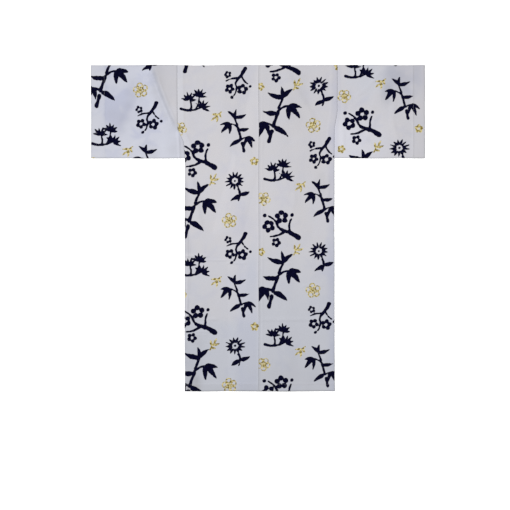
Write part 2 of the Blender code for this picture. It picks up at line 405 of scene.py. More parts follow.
def sunk(distance):
    """How far a panel's edge comes down on the layer below."""
    return turned_down(distance, EDGE_SETTLE, EDGE_SINK)


def rounded(distance):
    """How far an edge's corner is rounded off."""
    return turned_down(distance, EDGE_ROUND, EDGE_ROUNDING)


# Outer surfaces: the height of a panel, and how far each point lies from its nearest edge
CENTRE_RIDGE = {-1: (0.0005, 0.006), 1: (0.0009, 0.007)}
ARMHOLE_STRIP = 0.025
ARMHOLE_RISE = 0.0006
SEAM_VALLEY = 0.0006
SEAM_VALLEY_WIDTH = 0.0045


def armhole_share(y):
    """1 beside the sleeve and 0 below it."""
    return smooth((y - SLEEVE_FOOT_Y) / 0.01)


def hem_rise(distance):
    """Height of a turned hem and the dent of its stitches, by the distance past its inner end."""
    return HEM_RISE * fade(past(distance), HEM_EASE) - stitch_groove(distance)


def body_back(sign, x, y):
    from_side = np.abs(x - side_x(sign, y))
    from_centre = np.abs(x - CENTRE_X - sign * SEAM_GAP / 2)
    from_hem = y - HEM_Y
    from_neck = np.hypot(TOP_Y - y, past(np.abs(x - CENTRE_X) - NECK_HALF))
    beside_sleeve = armhole_share(y)
    ridge, ridge_width = CENTRE_RIDGE[sign]
    z = stack_z(x, y) + WALL + undulation(x, y) + layer_marks(x, y)
    z += creased(BODY_CREASES, x, y) + hem_rise(from_hem - HEM_WIDTH)
    z += ridge * fade(from_centre, ridge_width) + pucker(from_centre, y, 61)
    strip = ARMHOLE_RISE * fade(past(from_side - ARMHOLE_STRIP), 0.006)
    z += beside_sleeve * (strip - SEAM_VALLEY * fade(from_side, SEAM_VALLEY_WIDTH))
    z += pucker(from_side, y, 63 + sign)
    z -= (1 - beside_sleeve) * sunk(from_side) + sunk(from_hem) + sunk(from_neck)
    return z, np.minimum.reduce((from_side, from_centre, from_hem, from_neck))


def sleeve_edges(sign, x, y):
    """Distances from a sleeve's seam, mouth and bottom."""
    from_seam = np.abs(x - side_x(sign, y) - sign * SEAM_GAP)
    return from_seam, np.abs(sign * MOUTH_X - x), y - SLEEVE_FOOT_Y


def sleeve_back(sign, x, y):
    from_seam, from_mouth, from_foot = sleeve_edges(sign, x, y)
    z = PANEL + WALL + undulation(x, y) + creased(SLEEVE_CREASES, x, y)
    z += hem_rise(from_mouth - MOUTH_HEM[sign]) - SEAM_VALLEY * fade(from_seam, SEAM_VALLEY_WIDTH)
    z += pucker(from_seam, y, 71) + pucker(from_foot, x, 73)
    z -= sunk(from_mouth) + sunk(from_foot)
    return z, np.minimum.reduce((from_seam, from_mouth, from_foot))


def front_lift(x, y):
    """How far the pressed-in creases lift a lower panel."""
    waves = PRESSED_WAVE * past(1 + ripple(x, y, 15, 10, 0.05, 0.2))
    return creased(FRONT_CREASES, x, y) + waves


def front_panel_z(sign, x, y):
    """Height of a front panel with the dent of its hem's stitches."""
    return front_z(sign, x, y) + front_lift(x, y) + stitch_groove(y - HEM_Y - HEM_WIDTH)


def body_front(sign, x, y):
    from_side = np.abs(x - side_x(sign, y))
    from_inner = np.abs(x - front_x(sign, y))
    return front_panel_z(sign, x, y), np.minimum.reduce((from_side, from_inner, y - HEM_Y))


def sleeve_front(sign, x, y):
    edges = sleeve_edges(sign, x, y)
    z = front_lift(x, y) + stitch_groove(edges[1] - MOUTH_HEM[sign])
    return z, np.minimum.reduce(edges)


def overlap_front(sign, x, y):
    from_seam = np.abs(x - front_x(sign, y))
    from_edge = np.abs(x - collar_x(sign, y))
    groove = stitch_groove(from_edge - OVERLAP_HEM) * smooth((COLLAR_START_Y - y) / 0.004)
    z = front_panel_z(sign, x, y) + groove
    return z, np.minimum.reduce((from_seam, from_edge, y - HEM_Y))


# The print: brush-drawn plants in navy with smaller ones in gold. A motif is drawn in a
# square about 100 across, and its strokes taper along a bent spine.
MOTIF_SIDE = 100


def leaf_shape(t):
    return np.sin(np.pi * np.clip(t, 0, 1) ** 0.62) ** 0.85


def stem_shape(t):
    return 0.88 + 0.12 * np.cos(2 * np.pi * t)


def twig_shape(t):
    return 1 - 0.36 * t


def polar(x, y, angle, reach):
    """The point that lies at this angle in degrees and this reach from (x, y)."""
    turn = math.radians(angle)
    return x + reach * math.cos(turn), y + reach * math.sin(turn)


def leaf(x, y, angle, length, width, bow):
    """A leaf from (x, y) at this angle, bowed to its left by bow hundredths of its length."""
    middle = polar(*polar(x, y, angle, length / 2), angle + 90, bow / 100 * length)
    return Stroke((x, y), middle, polar(x, y, angle, length), width, leaf_shape)


def twig(start, bend, end, width):
    return Stroke(start, bend, end, width, twig_shape)


def dot(x, y, width):
    return Stroke((x, y), (x + 0.1, y), (x + 0.2, y), width, stem_shape)


def fan(x, y, *leaves):
    """Leaves from one point: rows of angle, length, width and bow."""
    return [leaf(x, y, *row) for row in leaves]


def petals(x, y, radius, turn):
    """Five round petals in a ring, with clear lines between them."""
    places = [polar(x, y, turn + 72 * k, 0.62 * radius) for k in range(5)]
    return [dot(*place, 0.76 * radius) for place in places]


def bamboo():
    """A leaning cane of three lengths, with leaves hanging in bunches from side twigs."""
    return [
        Stroke((-25, -55), (-21, -43), (-17, -32), 9.5, stem_shape),
        Stroke((-13, -21), (-7, -6), (-0.5, 9), 8.5, stem_shape),
        twig((3, 19), (8, 30), (16, 45), 7),
        twig((-13, -22), (-20, -14), (-32, -12), 6),
        twig((0, 12), (13, 24), (28, 22), 6),
        *fan(-30, -12, (204, 30, 11, -12), (240, 38, 12.5, -8), (278, 30, 10.5, 12)),
        *fan(26, 23, (-14, 30, 11, 12), (-54, 40, 13, 10), (-92, 34, 11.5, -10)),
        *fan(14, 42, (36, 30, 10.5, 14), (96, 26, 9.5, -10), (158, 38, 12, 16)),
        leaf(-2, 8, 168, 34, 11.5, 18),
        leaf(-12, -23, -38, 40, 13, 14),
    ]


def plum():
    """A crooked branch with blossoms and buds."""
    return [
        twig((-46, -46), (-30, -26), (-8, -14), 16),
        twig((-12, -16), (8, -6), (6, 14), 10.5),
        twig((5, 8), (8, 28), (24, 42), 7.6),
        twig((-24, -26), (-26, 0), (-40, 14), 8.4),
        twig((-10, -18), (12, -26), (36, -20), 8.4),
        *petals(32, 12, 20, 80),
        *petals(-14, 28, 21.5, 100),
        *petals(24, -42, 15, 60),
        dot(34, 46, 12),
        dot(-46, 26, 11),
    ]


def pine():
    """Three tufts of needles on a bent twig."""
    strokes = [
        twig((-46, -36), (-10, -42), (18, -20), 10),
        twig((-12, -36), (-10, -18), (-22, 0), 8),
        twig((2, -30), (14, -4), (8, 18), 6.6),
    ]
    tufts = ((-24, -2, 30, 96), (24, -20, 32, 70), (8, 18, 30, 88))
    for x, y, reach, heading in tufts:
        for lean in (-82, -48, -16, 16, 48, 82):
            strokes.append(leaf(x, y, heading + lean, reach, 9.2, 0))
    return strokes


def chrysanthemum():
    """A round flower of narrow petals with an eye and a leafy stalk."""
    strokes = [
        twig((6, -14), (12, -34), (-2, -52), 8.5),
        leaf(8, -34, 8, 36, 15, -12),
        leaf(6, -38, 196, 36, 15, -14),
        dot(0, 16, 8.5),
    ]
    for k in range(13):
        turn = math.radians(90 + 360 * k / 13)
        foot = np.array([10 * math.cos(turn), 16 + 10 * math.sin(turn)])
        tip = np.array([36 * math.cos(turn), 16 + 32 * math.sin(turn)])
        strokes.append(Stroke(foot, (foot + tip) / 2, tip, 8.2, leaf_shape))
    return strokes


def bloom():
    """A line-drawn blossom: five bowed petal outlines about an eye."""
    strokes = [dot(0, 0, 18)]
    for turn in range(90, 450, 72):
        foot = polar(0, 0, turn, 13)
        tip = polar(0, 0, turn, 46)
        for side in (-40, 40):
            strokes.append(Stroke(foot, polar(0, 0, turn + side, 52), tip, 9.4, stem_shape))
    return strokes


def twin_leaves():
    """Four leaves on a curled stalk."""
    return [
        twig((2, -48), (-3, -20), (4, 10), 10),
        leaf(2, -16, 130, 52, 17, 16),
        leaf(3, -6, 46, 52, 17, -16),
        leaf(4, 6, 92, 44, 15, 6),
        leaf(1, -32, 16, 40, 15, 20),
    ]


def small_bloom():
    return petals(0, 0, 50, 90)


# Where the motifs lie on the bolt, and their sizes, in millimetres
NAVY_LAYOUT = (
    Placed(bamboo, 92, 118, 177, 4),
    Placed(chrysanthemum, 258, 222, 118, 12),
    Placed(plum, 98, 335, 132, 16, flip=True),
    Placed(bamboo, 264, 436, 134, -6, flip=True),
    Placed(pine, 98, 560, 116, -10),
    Placed(plum, 262, 630, 104, 196),
)
GOLD_LAYOUT = (
    Placed(bloom, 232, 82, 62, 10),
    Placed(twin_leaves, 166, 248, 58, -30),
    Placed(small_bloom, 332, 318, 36, 0),
    Placed(bloom, 34, 448, 56, 40),
    Placed(twin_leaves, 178, 500, 56, 130, flip=True),
    Placed(small_bloom, 22, 236, 34, 50),
)
# Where each piece was cut from the printed bolt: across it and along it
BOLTS = {
    "body_left": (-0.345, 0.06),
    "body_right": (-0.01, 0.34),
    "sleeve_left": (-0.7, 0.47),
    "sleeve_right": (0.312, 0.2),
    "overlap_left": (-0.09, 0.25),
    "overlap_right": (-0.11, 0.52),
    "collar": (0.0, 0.1),
}
REPEAT = 0.66
STROKE_STEPS = 8
FAR = 0.02  # the largest distance that is told apart
MOTIF_REACH = 72  # how far a motif's strokes go from its middle
BRUSH_WOBBLE = 0.0009  # how far a painted edge strays from its stroke


def stroke_distance(points, stroke):
    """Distance from the stroke's painted edge, in the motif's units, negative inside it."""
    t = np.linspace(0, 1, STROKE_STEPS + 1)
    weights = ((1 - t) ** 2, 2 * t * (1 - t), t**2)
    spine = sum(np.outer(weight, place) for weight, place in zip(weights, stroke[:3]))
    half = stroke.width / 2 * stroke.shape(t)
    nearest = np.full(len(points), np.inf)
    for a, b, half_a, half_b in zip(spine, spine[1:], half, half[1:]):
        run = b - a
        share = np.clip((points - a) @ run / max(run @ run, 1e-12), 0, 1)
        gap = np.hypot(*(points - a - share[:, None] * run).T)
        nearest = np.minimum(nearest, gap - half_a - (half_b - half_a) * share)
    return nearest


def painted(us, ss, layout):
    """Distance of each cloth point from the nearest painted edge, in metres, negative inside."""
    cloth = np.stack([us, ss], axis=1)
    field = np.full(len(cloth), FAR)
    cycles = range(math.floor(ss.min() / REPEAT) - 1, math.ceil(ss.max() / REPEAT) + 1)
    for placed in layout:
        strokes = placed.motif()
        scale = placed.size * MM / MOTIF_SIDE
        across = polar(0, 0, placed.turn, -1 if placed.flip else 1)
        along = polar(0, 0, placed.turn + 90, 1)
        for cycle in cycles:
            away = cloth - (placed.u * MM, placed.s * MM + cycle * REPEAT)
            near = np.flatnonzero(np.hypot(*away.T) < MOTIF_REACH * scale + FAR)
            if len(near):
                local = away[near] @ np.transpose([across, along]) / scale
                gaps = [stroke_distance(local, stroke) for stroke in strokes]
                field[near] = np.minimum(field[near], np.min(gaps, axis=0) * scale)
    return field


# Building a shell
def columns(start, end, count):
    """Positions from start to end, closer together beside both ends where there is room."""
    if abs(end - start) < 4 * EDGE_STEPS[-1]:
        return np.linspace(start, end, count + 2 * len(EDGE_STEPS) - 1)
    steps = math.copysign(1, end - start) * np.array(EDGE_STEPS)
    middle = np.linspace(start + steps[-1], end - steps[-1], count + 1)
    return np.concatenate([start + steps[:-1], middle, end - steps[:-1][::-1]])


def column_count(width):
    return math.ceil(width / COLUMN_STEP)


def heights(edge, knots, step):
    """Rows from a lower edge through all the knots, close together beside the edge."""
    knots = [edge + near for near in EDGE_STEPS] + knots
    values = [edge]
    for low, high in zip(knots, knots[1:]):
        count = max(1, math.ceil((high - low) / step - 1e-6))
        values += list(low + (high - low) * np.arange(1, count + 1) / count)
    return values


def hem_knots():
    """Rows on both sides of the hem's stitches and along them."""
    return [HEM_Y + HEM_WIDTH + off for off in (-GROOVE, 0.0, GROOVE)]


class Cloth:
    """Rows of points through one cut piece: both sides, and the place on the bolt."""

    def __init__(self, node):
        self.node = node
        self.sign = -1 if node.endswith("left") else 1
        self.u, self.s = BOLTS[node]
        self.rows = []
        self.back_rows = 0

    def points(self, outer, inner, u, s):
        return np.column_stack(np.broadcast_arrays(*outer, *inner, u - self.u, s + self.s))

    def level(self, surface, x, y, side, s):
        """A row of a panel that lies flat, with its outer side up (1) or down (-1)."""
        z, from_edge = surface(self.sign, x, np.full(x.shape, y))
        outer = (x, y, z - side * rounded(from_edge))
        self.rows.append(self.points(outer, (x, y, z - side * SHELL), x, s))

    def fold_over(self, surface, x, s):
        """The shoulder fold, from the back's last row round to the front's first."""
        top, from_edge = surface(self.sign, x, np.full(x.shape, FOLD_HEIGHT_Y))
        radius = top / 2
        for angle in np.linspace(0, math.pi, FOLD_STEPS + 1):
            outer, inner = (
                (x, TOP_Y - radius + reach * math.sin(angle), radius + reach * math.cos(angle))
                for reach in (radius - rounded(from_edge), radius - SHELL)
            )
            self.rows.append(self.points(outer, inner, x, s + radius * (angle - math.pi / 2)))
        self.back_rows = len(self.rows) - FOLD_STEPS

    def faces(self, turned):
        """Four-sided faces between rows; a shorter row continues the first columns."""
        found = []
        low = 0
        for row, after in zip(self.rows, self.rows[1:]):
            high = low + len(row)
            i = np.arange(min(len(row), len(after)) - 1)
            found.append(np.stack([low + i, low + i + 1, high + i + 1, high + i], axis=1))
            low = high
        faces = np.concatenate(found)
        return faces[:, ::-1] if turned else faces

    def mesh(self, name, turned):
        """A closed mesh of both sides and the rim between them."""
        points = np.concatenate(self.rows)
        count = len(points)
        faces = self.faces(turned)
        edges = np.concatenate([faces[:, [k, (k + 1) % 4]] for k in range(4)])
        keys = edges.min(axis=1) * count + edges.max(axis=1)
        _, first, uses = np.unique(keys, return_index=True, return_counts=True)
        rim = edges[first[uses == 1]]
        walls = np.stack([rim[:, 1], rim[:, 0], rim[:, 0] + count, rim[:, 1] + count], axis=1)
        both = np.concatenate([points[:, :3], points[:, 3:6]])
        both[:, 0], both[:, 1] = drifted(both[:, 0], both[:, 1])
        mesh = bpy.data.meshes.new(name)
        mesh.from_pydata(both, [], np.concatenate([faces, faces[:, ::-1] + count, walls]))
        mesh.shade_smooth()
        mesh.set_sharp_from_angle(angle=SHARP_EDGE)
        return mesh


def add_object(name, data, place=(0, 0, 0)):
    thing = bpy.data.objects.new(name, data)
    thing.location = place
    bpy.context.scene.collection.objects.link(thing)
    return thing


def store(mesh, name, values, kind="FLOAT", field="value"):
    """Keeps a number or a place for each point, for the material to read."""
    layer = mesh.attributes.new(name, kind, "POINT")
    layer.data.foreach_set(field, values.ravel().astype(np.float32))


def finish_cloth(cloth, turned, material, marks=None):
    """Makes the piece from its rows, with its print and the marks that its back shows."""
    node = cloth.node
    name = "_".join([*reversed(node.split("_")), "cloth"])
    mesh = cloth.mesh(name, turned)
    points = np.concatenate(cloth.rows)
    us, ss = points[:, 6:].T
    wobble = BRUSH_WOBBLE * ripple(us, ss, 91, 16, 0.009, 0.034)
    store(mesh, "navy", np.tile(painted(us, ss, NAVY_LAYOUT) + wobble, 2))
    store(mesh, "gold", np.tile(painted(us, ss, GOLD_LAYOUT) + wobble / 2, 2))
    values = marks(cloth, *points[:, :2].T) if marks else {}
    is_back = np.arange(len(us)) < sum(len(row) for row in cloth.rows[: cloth.back_rows])
    for layer in LAYERS:
        shown = np.clip(values.get(layer.mark, 0), 0, 1) * is_back
        store(mesh, layer.mark, np.tile(shown, 2))
    store(mesh, "reverse", np.repeat([0.0, 1.0], len(us)))
    places = np.column_stack([us, ss, np.zeros(len(us))])
    store(mesh, "bolt", np.tile(places, (2, 1)), "FLOAT_VECTOR", "vector")
    mesh.materials.append(material)
    piece = add_object(name, mesh)
    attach(piece, "root")
    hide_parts(node)


# Marks in the cloth's colour, painted shade among them
GHOST_BLUR = 0.016
TONE_WARP = 0.14
BODY_GHOST = 0.2
SLEEVE_GHOST = {-1: 0.55, 1: 0.25}
SLEEVE_TINT = {-1: 0.38, 1: 0.06}
RIM_SHADE = 0.34
SIDE_RIM_SHADE = {-1: 0.34, 1: 0.14}
RIM_REACH = 0.007
CENTRE_SHADE = 0.1
ARMHOLE_SHADE = {-1: 0.22, 1: 0.06}
CREASE_LINE = [Station(y * MM, x * MM) for x, y in MAIN_ROUTE]
# Soft changes of tone, mostly painted shade and its cool bluish parts, some lighter patches, and
# where the cloth lies on what is below it: for each mark, rows of its amount, then its middle and its
# reach across and along, in millimetres
BODY_TONES = {
    "shade": (
        (0.09, -80, 500, 120, 240),
        (0.16, 165, 490, 80, 210),
        (0.09, 190, 250, 100, 160),
        (0.1, 140, -590, 220, 100),
        (0.18, -275, -550, 70, 150),
        (0.3, -278, -622, 56, 66),
        (0.16, -252, -456, 70, 44),
        (0.09, -60, 340, 80, 110),
        (0.16, 250, 180, 50, 60),
        (0.2, -284, -80, 26, 70),
        (0.18, -240, -620, 36, 40),
        (-0.13, -6, -470, 66, 110),
    ),
    "ghost": (
        (0.28, -50, 590, 80, 110),
        (0.34, -50, 20, 90, 110),
        (0.14, 250, 570, 80, 90),
        (0.24, 275, -150, 60, 170),
    ),
    "cool": (
        (0.36, 292, -80, 56, 190),
        (0.4, -20, -210, 34, 200),
    ),
}
SLEEVE_TONES = {
    "ghost": (
        (0.62, -582, 470, 70, 115),
        (0.5, -512, 520, 95, 80),
        (0.22, -490, 460, 44, 60),
        (0.34, -560, 436, 76, 56),
        (0.46, 560, 600, 105, 130),
        (0.26, 650, 610, 60, 110),
    ),
    "shade": (
        (0.17, -556, 446, 80, 94),
        (0.18, -494, 528, 40, 90),
        (0.1, -405, 590, 50, 120),
        (-0.16, -338, 462, 24, 76),
        (0.16, -302, 320, 20, 60),
        (0.2, -425, 304, 44, 66),
        (0.2, -325, 318, 56, 66),
        (0.34, 560, 600, 105, 130),
        (0.04, 650, 610, 60, 110),
        (0.16, 510, 530, 60, 60),
        (0.04, 600, 360, 36, 130),
    ),
    "pale": (
        (-0.34, -302, 320, 30, 80),
        (0.36, 470, 600, 190, 130),
    ),
    "bright": (
        (0.34, -525, 305, 64, 56),
    ),
    "cool": (
        (0.55, 470, 600, 190, 130),
    ),
}


def toned(marks, tones, x, y):
    """Adds the soft changes of tone, each fading unevenly to nothing at its reach."""
    warp = TONE_WARP * ripple(x, y, 57, 8, 0.03, 0.12)
    for mark, rows in tones.items():
        for amount, middle_x, middle_y, reach_x, reach_y in rows:
            away = np.hypot((x / MM - middle_x) / reach_x, (y / MM - middle_y) / reach_y)
            marks[mark] += amount * fade(away + warp, 1.0)
    return marks


def rim_shade(sign, side_rim, from_ends):
    """Shade where the cloth turns down at its edges, by how near the side and the ends are."""
    return np.maximum(SIDE_RIM_SHADE[sign] * side_rim, RIM_SHADE * fade(from_ends, RIM_REACH))


def seen_through(cloth, x, y, foot_y):
    """How strongly the layer below shows through, from its own print."""
    s_below = (TOP_Y - foot_y) + (TOP_Y - y) + cloth.s
    return np.clip(0.5 - painted(x - cloth.u, s_below, NAVY_LAYOUT) / GHOST_BLUR, 0, 1)


def body_marks(cloth, x, y):
    """Marks of a body panel: painted shade at its edges and seams and towards the hem, and where more
    or fewer layers lie under it.
    """
    sign = cloth.sign
    from_side = np.abs(x - side_x(sign, y))
    from_hem = y - HEM_Y
    beside_sleeve = armhole_share(y)
    over_front = smooth(sign * (x - front_x(sign, y)) / 0.01)
    side_rim = (1 - beside_sleeve) * fade(from_side, RIM_REACH)
    uneven = 1 + 0.25 * ripple(x, y, 53, 8, 0.05, 0.2)
    marks = defaultdict(float)
    marks["ghost"] += BODY_GHOST * over_front * seen_through(cloth, x, y, HEM_Y)
    marks["shade"] += rim_shade(sign, side_rim, np.minimum(from_hem, TOP_Y - y))
    marks["shade"] += CENTRE_SHADE * fade(np.abs(x - CENTRE_X), 0.004)
    marks["shade"] += ARMHOLE_SHADE[sign] * beside_sleeve * fade(from_side, 0.004)
    if sign > 0:
        # painted bluish shade beside the side, and painted shade that grows towards the hem
        marks["ghost"] += 0.5 * fade(from_side, 0.04) * uneven
        marks["cool"] += 0.88 * smooth((0.06 - y) / 0.46)
        marks["shade"] += 0.07 + 0.14 * fade(np.abs(from_hem - HEM_WIDTH), 0.005)
    else:
        under_overlap = band(x, overlap_edge_x(1), CENTRE_X, 0.04)
        under_overlap *= smooth((COLLAR_START_Y - y) / 0.25) * uneven
        strip = beside_sleeve * fade(past(from_side - ARMHOLE_STRIP + 0.004), 0.004)
        above_hem_crease = smooth((y + 0.08) / 0.06)
        marks["ghost"] += 0.3 * under_overlap
        marks["pale"] += 0.3 * under_overlap + 0.4 * strip
        # painted shade: darker from the middle down, and more so below the lowest fold
        marks["cool"] += 0.35 * smooth(-y / 0.2) + 0.63 * smooth((-0.345 - y) / 0.05)
        marks["shade"] += 0.12 * fade(past(from_hem - HEM_WIDTH), 0.004)
        marks["shade"] += 0.14 * (1 - beside_sleeve) * fade(from_side, 0.018) * above_hem_crease
        marks["soil"] += fade(np.hypot((x + 0.262) / 1.9, y + 0.64), 0.024)
    return toned(marks, BODY_TONES, x, y)


def sleeve_marks(cloth, x, y):
    """Marks of a sleeve, whose thin cloth lets its lower layer's print show, with painted shade at
    its edges, its seam and beside its crease.
    """
    sign = cloth.sign
    from_mouth = np.abs(sign * MOUTH_X - x)
    from_seam = np.abs(x - side_x(sign, y))
    from_ends = np.minimum(y - SLEEVE_FOOT_Y, TOP_Y - y)
    from_hem_line = from_mouth - MOUTH_HEM[sign]
    in_hem = fade(past(from_hem_line), 0.006)
    uneven = 0.1 * ripple(x, y, 51, 6, 0.08, 0.25)
    marks = defaultdict(float)
    below = seen_through(cloth, x, y, SLEEVE_FOOT_Y)
    marks["ghost"] += SLEEVE_TINT[sign] + SLEEVE_GHOST[sign] * below
    marks["shade"] += rim_shade(sign, fade(from_mouth, RIM_REACH), from_ends)
    marks["shade"] += ARMHOLE_SHADE[sign] * fade(from_seam, 0.005)
    if sign < 0:
        # past the main crease lies its shaded side, given painted shade in place of the pale tint;
        # its left flank gets painted shade too
        past_crease = x - line_x(CREASE_LINE, y)
        crease_shadow_side = smooth(past_crease / 0.03) * smooth((y - CREASE_LINE[0].y) / 0.05)
        flank = smooth(-past_crease / 0.006) * fade(past(-past_crease), 0.052)
        near_foot = smooth((0.372 - y) / 0.05)
        marks["pale"] += (0.92 + uneven) * (1 - crease_shadow_side)
        marks["ghost"] *= (1 - 0.5 * in_hem) * (1 - 0.2 * near_foot) * (1 - 0.8 * crease_shadow_side)
        marks["bright"] += 0.14 * near_foot + 0.12 * in_hem
        marks["shade"] += crease_shadow_side * (0.06 + 0.12 * fade(past(past_crease), 0.11))
        marks["shade"] += 0.22 * flank * band(y, 0.43, 0.57, 0.05)
    else:
        beside = fade(from_seam, 0.022)
        near_foot = smooth((0.6 - x) / 0.27) * smooth((0.52 - y) / 0.17)
        marks["bright"] += (0.9 * near_foot + uneven / 2) * (1 - in_hem)
        # painted bluish shade beside the seam
        marks["ghost"] += 0.3 * beside
        marks["shade"] += 0.06 * beside + 0.07 * in_hem
        marks["shade"] += 0.26 * fade(np.abs(from_hem_line), 0.005)
    return toned(marks, SLEEVE_TONES, x, y)


# The pieces
COLLAR_WAVE = 0.0001


def make_body(node, material):
    """One length of cloth from the back hem over the shoulder to the front hem."""
    cloth = Cloth(node)
    sign = cloth.sign
    hem_x = SIDE[sign][0].x
    shoulder_x = SIDE[sign][-1].x
    side_columns = column_count(abs(shoulder_x - neck_x(sign)))
    centre = CENTRE_X + sign * SEAM_GAP / 2

    def back_x(y):
        to_neck = columns(side_x(sign, y), neck_x(sign), side_columns)
        return np.concatenate([to_neck, columns(neck_x(sign), centre, column_count(NECK_HALF))[1:]])

    back_knots = [*hem_knots(), HEM_Y + HEM_WIDTH + HEM_EASE, SLEEVE_FOOT_Y, FOLD_Y]
    for y in heights(HEM_Y, back_knots, ROW_STEP):
        cloth.level(body_back, back_x(y), y, 1, y - HEM_Y)
    folded, at_neck = np.split(back_x(TOP_Y), [side_columns + 2 * len(EDGE_STEPS) - 1])
    cloth.fold_over(body_back, folded, LENGTH)
    z, from_edge = body_back(sign, at_neck, np.full(at_neck.shape, TOP_Y))
    neck_y = TOP_Y - SEAM_GAP
    outer = (at_neck, neck_y, z - rounded(from_edge))
    neck = cloth.points(outer, (at_neck, neck_y, z - SHELL), at_neck, LENGTH)
    cloth.rows[-FOLD_STEPS - 1] = np.concatenate([cloth.rows[-FOLD_STEPS - 1], neck])
    for y in reversed(heights(HEM_Y, [*hem_knots(), FOLD_Y], FRONT_ROW_STEP)):
        x = columns(side_x(sign, y), front_x(sign, y), side_columns)
        cloth.level(body_front, x, y, -1, LENGTH + TOP_Y - y)
    finish_cloth(cloth, sign > 0, material, body_marks)


def make_sleeve(node, material):
    """One width of cloth folded at the shoulder, with its mouth outwards."""
    cloth = Cloth(node)
    sign = cloth.sign
    mouth = sign * MOUTH_X
    stitch_x = mouth - sign * MOUTH_HEM[sign]
    foot_x = SIDE[sign][0].x
    shoulder_x = SIDE[sign][-1].x

    def sleeve_x(y):
        seam = side_x(sign, y) + sign * SEAM_GAP
        before, after = stitch_x - sign * GROOVE, stitch_x + sign * GROOVE
        to_stitches = columns(seam, before, column_count(abs(stitch_x - foot_x)))
        hem = columns(after, mouth, column_count(MOUTH_HEM[sign] - GROOVE))
        return np.concatenate([to_stitches, [stitch_x], hem])

    rows = heights(SLEEVE_FOOT_Y, [FOLD_Y], ROW_STEP)
    for y in rows:
        cloth.level(sleeve_back, sleeve_x(y), y, 1, y - SLEEVE_FOOT_Y)
    cloth.fold_over(sleeve_back, sleeve_x(TOP_Y), SLEEVE_DEPTH)
    for y in reversed(rows):
        cloth.level(sleeve_front, sleeve_x(y), y, -1, SLEEVE_DEPTH + TOP_Y - y)
    finish_cloth(cloth, sign < 0, material, sleeve_marks)


def make_overlap(node, material):
    """The narrow front panel between the front and the collar, pointed at its top."""
    cloth = Cloth(node)
    sign = cloth.sign
    for y in heights(HEM_Y, [*hem_knots(), COLLAR_START_Y, TIP_Y - TIP_CUT], FRONT_ROW_STEP):
        start = front_x(sign, y) - sign * SEAM_GAP
        end = collar_x(sign, y) + sign * (SEAM_GAP if y > COLLAR_START_Y else 0.0)
        x = columns(start, end, column_count(OVERLAP_WIDTH))
        cloth.level(overlap_front, x, y, -1, y - HEM_Y)
    finish_cloth(cloth, sign < 0, material)


def make_collar(node, material):
    """One doubled band along both fronts, turned down inside behind the neck."""
    cloth = Cloth(node)
    inner_y = TOP_Y - COLLAR_WIDTH
    slope = collar_slant(-1) / COLLAR_WIDTH
    limb_length = (inner_y - COLLAR_START_Y) * slope
    length = 2 * limb_length + 2 * NECK_HALF
    shares = columns(0.0, COLLAR_WIDTH, column_count(COLLAR_WIDTH)) / COLLAR_WIDTH
    limb_y = heights(COLLAR_START_Y, [inner_y - COLLAR_WIDTH / 3], COLLAR_ROW_STEP)

    def limb_ends(sign, y):
        seam = collar_x(sign, y)
        return np.array([[seam - sign * SEAM_GAP, y], [seam - sign * collar_slant(sign), y]])

    def neck_ends(sign):
        seam = [neck_x(sign) - sign * SEAM_GAP, TOP_Y - SEAM_GAP]
        return np.array([seam, limb_ends(sign, inner_y)[1]])

    def add_row(ends, underside, s, end_gap):
        x, y = (ends[0] + (ends[1] - ends[0]) * shares[:, None]).T
        round_off = rounded(np.minimum(COLLAR_WIDTH * np.minimum(shares, 1 - shares), end_gap))
        z = underside(x, y) + COLLAR_WAVE * (1 + ripple(x, y, 83, 8, 0.03, 0.12))
        inner = (x, y, z + COLLAR_SHELL - round_off)
        cloth.rows.append(cloth.points((x, y, z + round_off), inner, COLLAR_WIDTH * shares, s))

    def add_limb_row(sign, y, s):
        add_row(limb_ends(sign, y), lambda *place: front_z(sign, *place), s, y - COLLAR_START_Y)

    for y in limb_y:
        add_limb_row(-1, y, (y - COLLAR_START_Y) * slope)
    for share in np.linspace(0, 1, column_count(2 * NECK_HALF) + 1):
        ends = neck_ends(-1) + (neck_ends(1) - neck_ends(-1)) * share
        add_row(ends, back_neck_z, limb_length + 2 * NECK_HALF * share, COLLAR_WIDTH)
    for y in reversed(limb_y):
        add_limb_row(1, y, length - (y - COLLAR_START_Y) * slope)
    finish_cloth(cloth, True, material)


# Sewing
STITCH_PITCH = 0.0032
STITCH_LENGTH = 0.0021
STITCH_RADIUS = 0.00022
STITCH_RINGS = np.array((-0.5, -0.32, 0.0, 0.32, 0.5))
STITCH_SIDES = 6
STITCH_TAPER = 0.35  # thickness of a stitch's ends, as a share of its middle
STITCH_SINK = 0.45  # how far its ends lie in the cloth, in radii
UNDER_STITCH = 0.00028  # how far the stitches below are drawn into the cloth


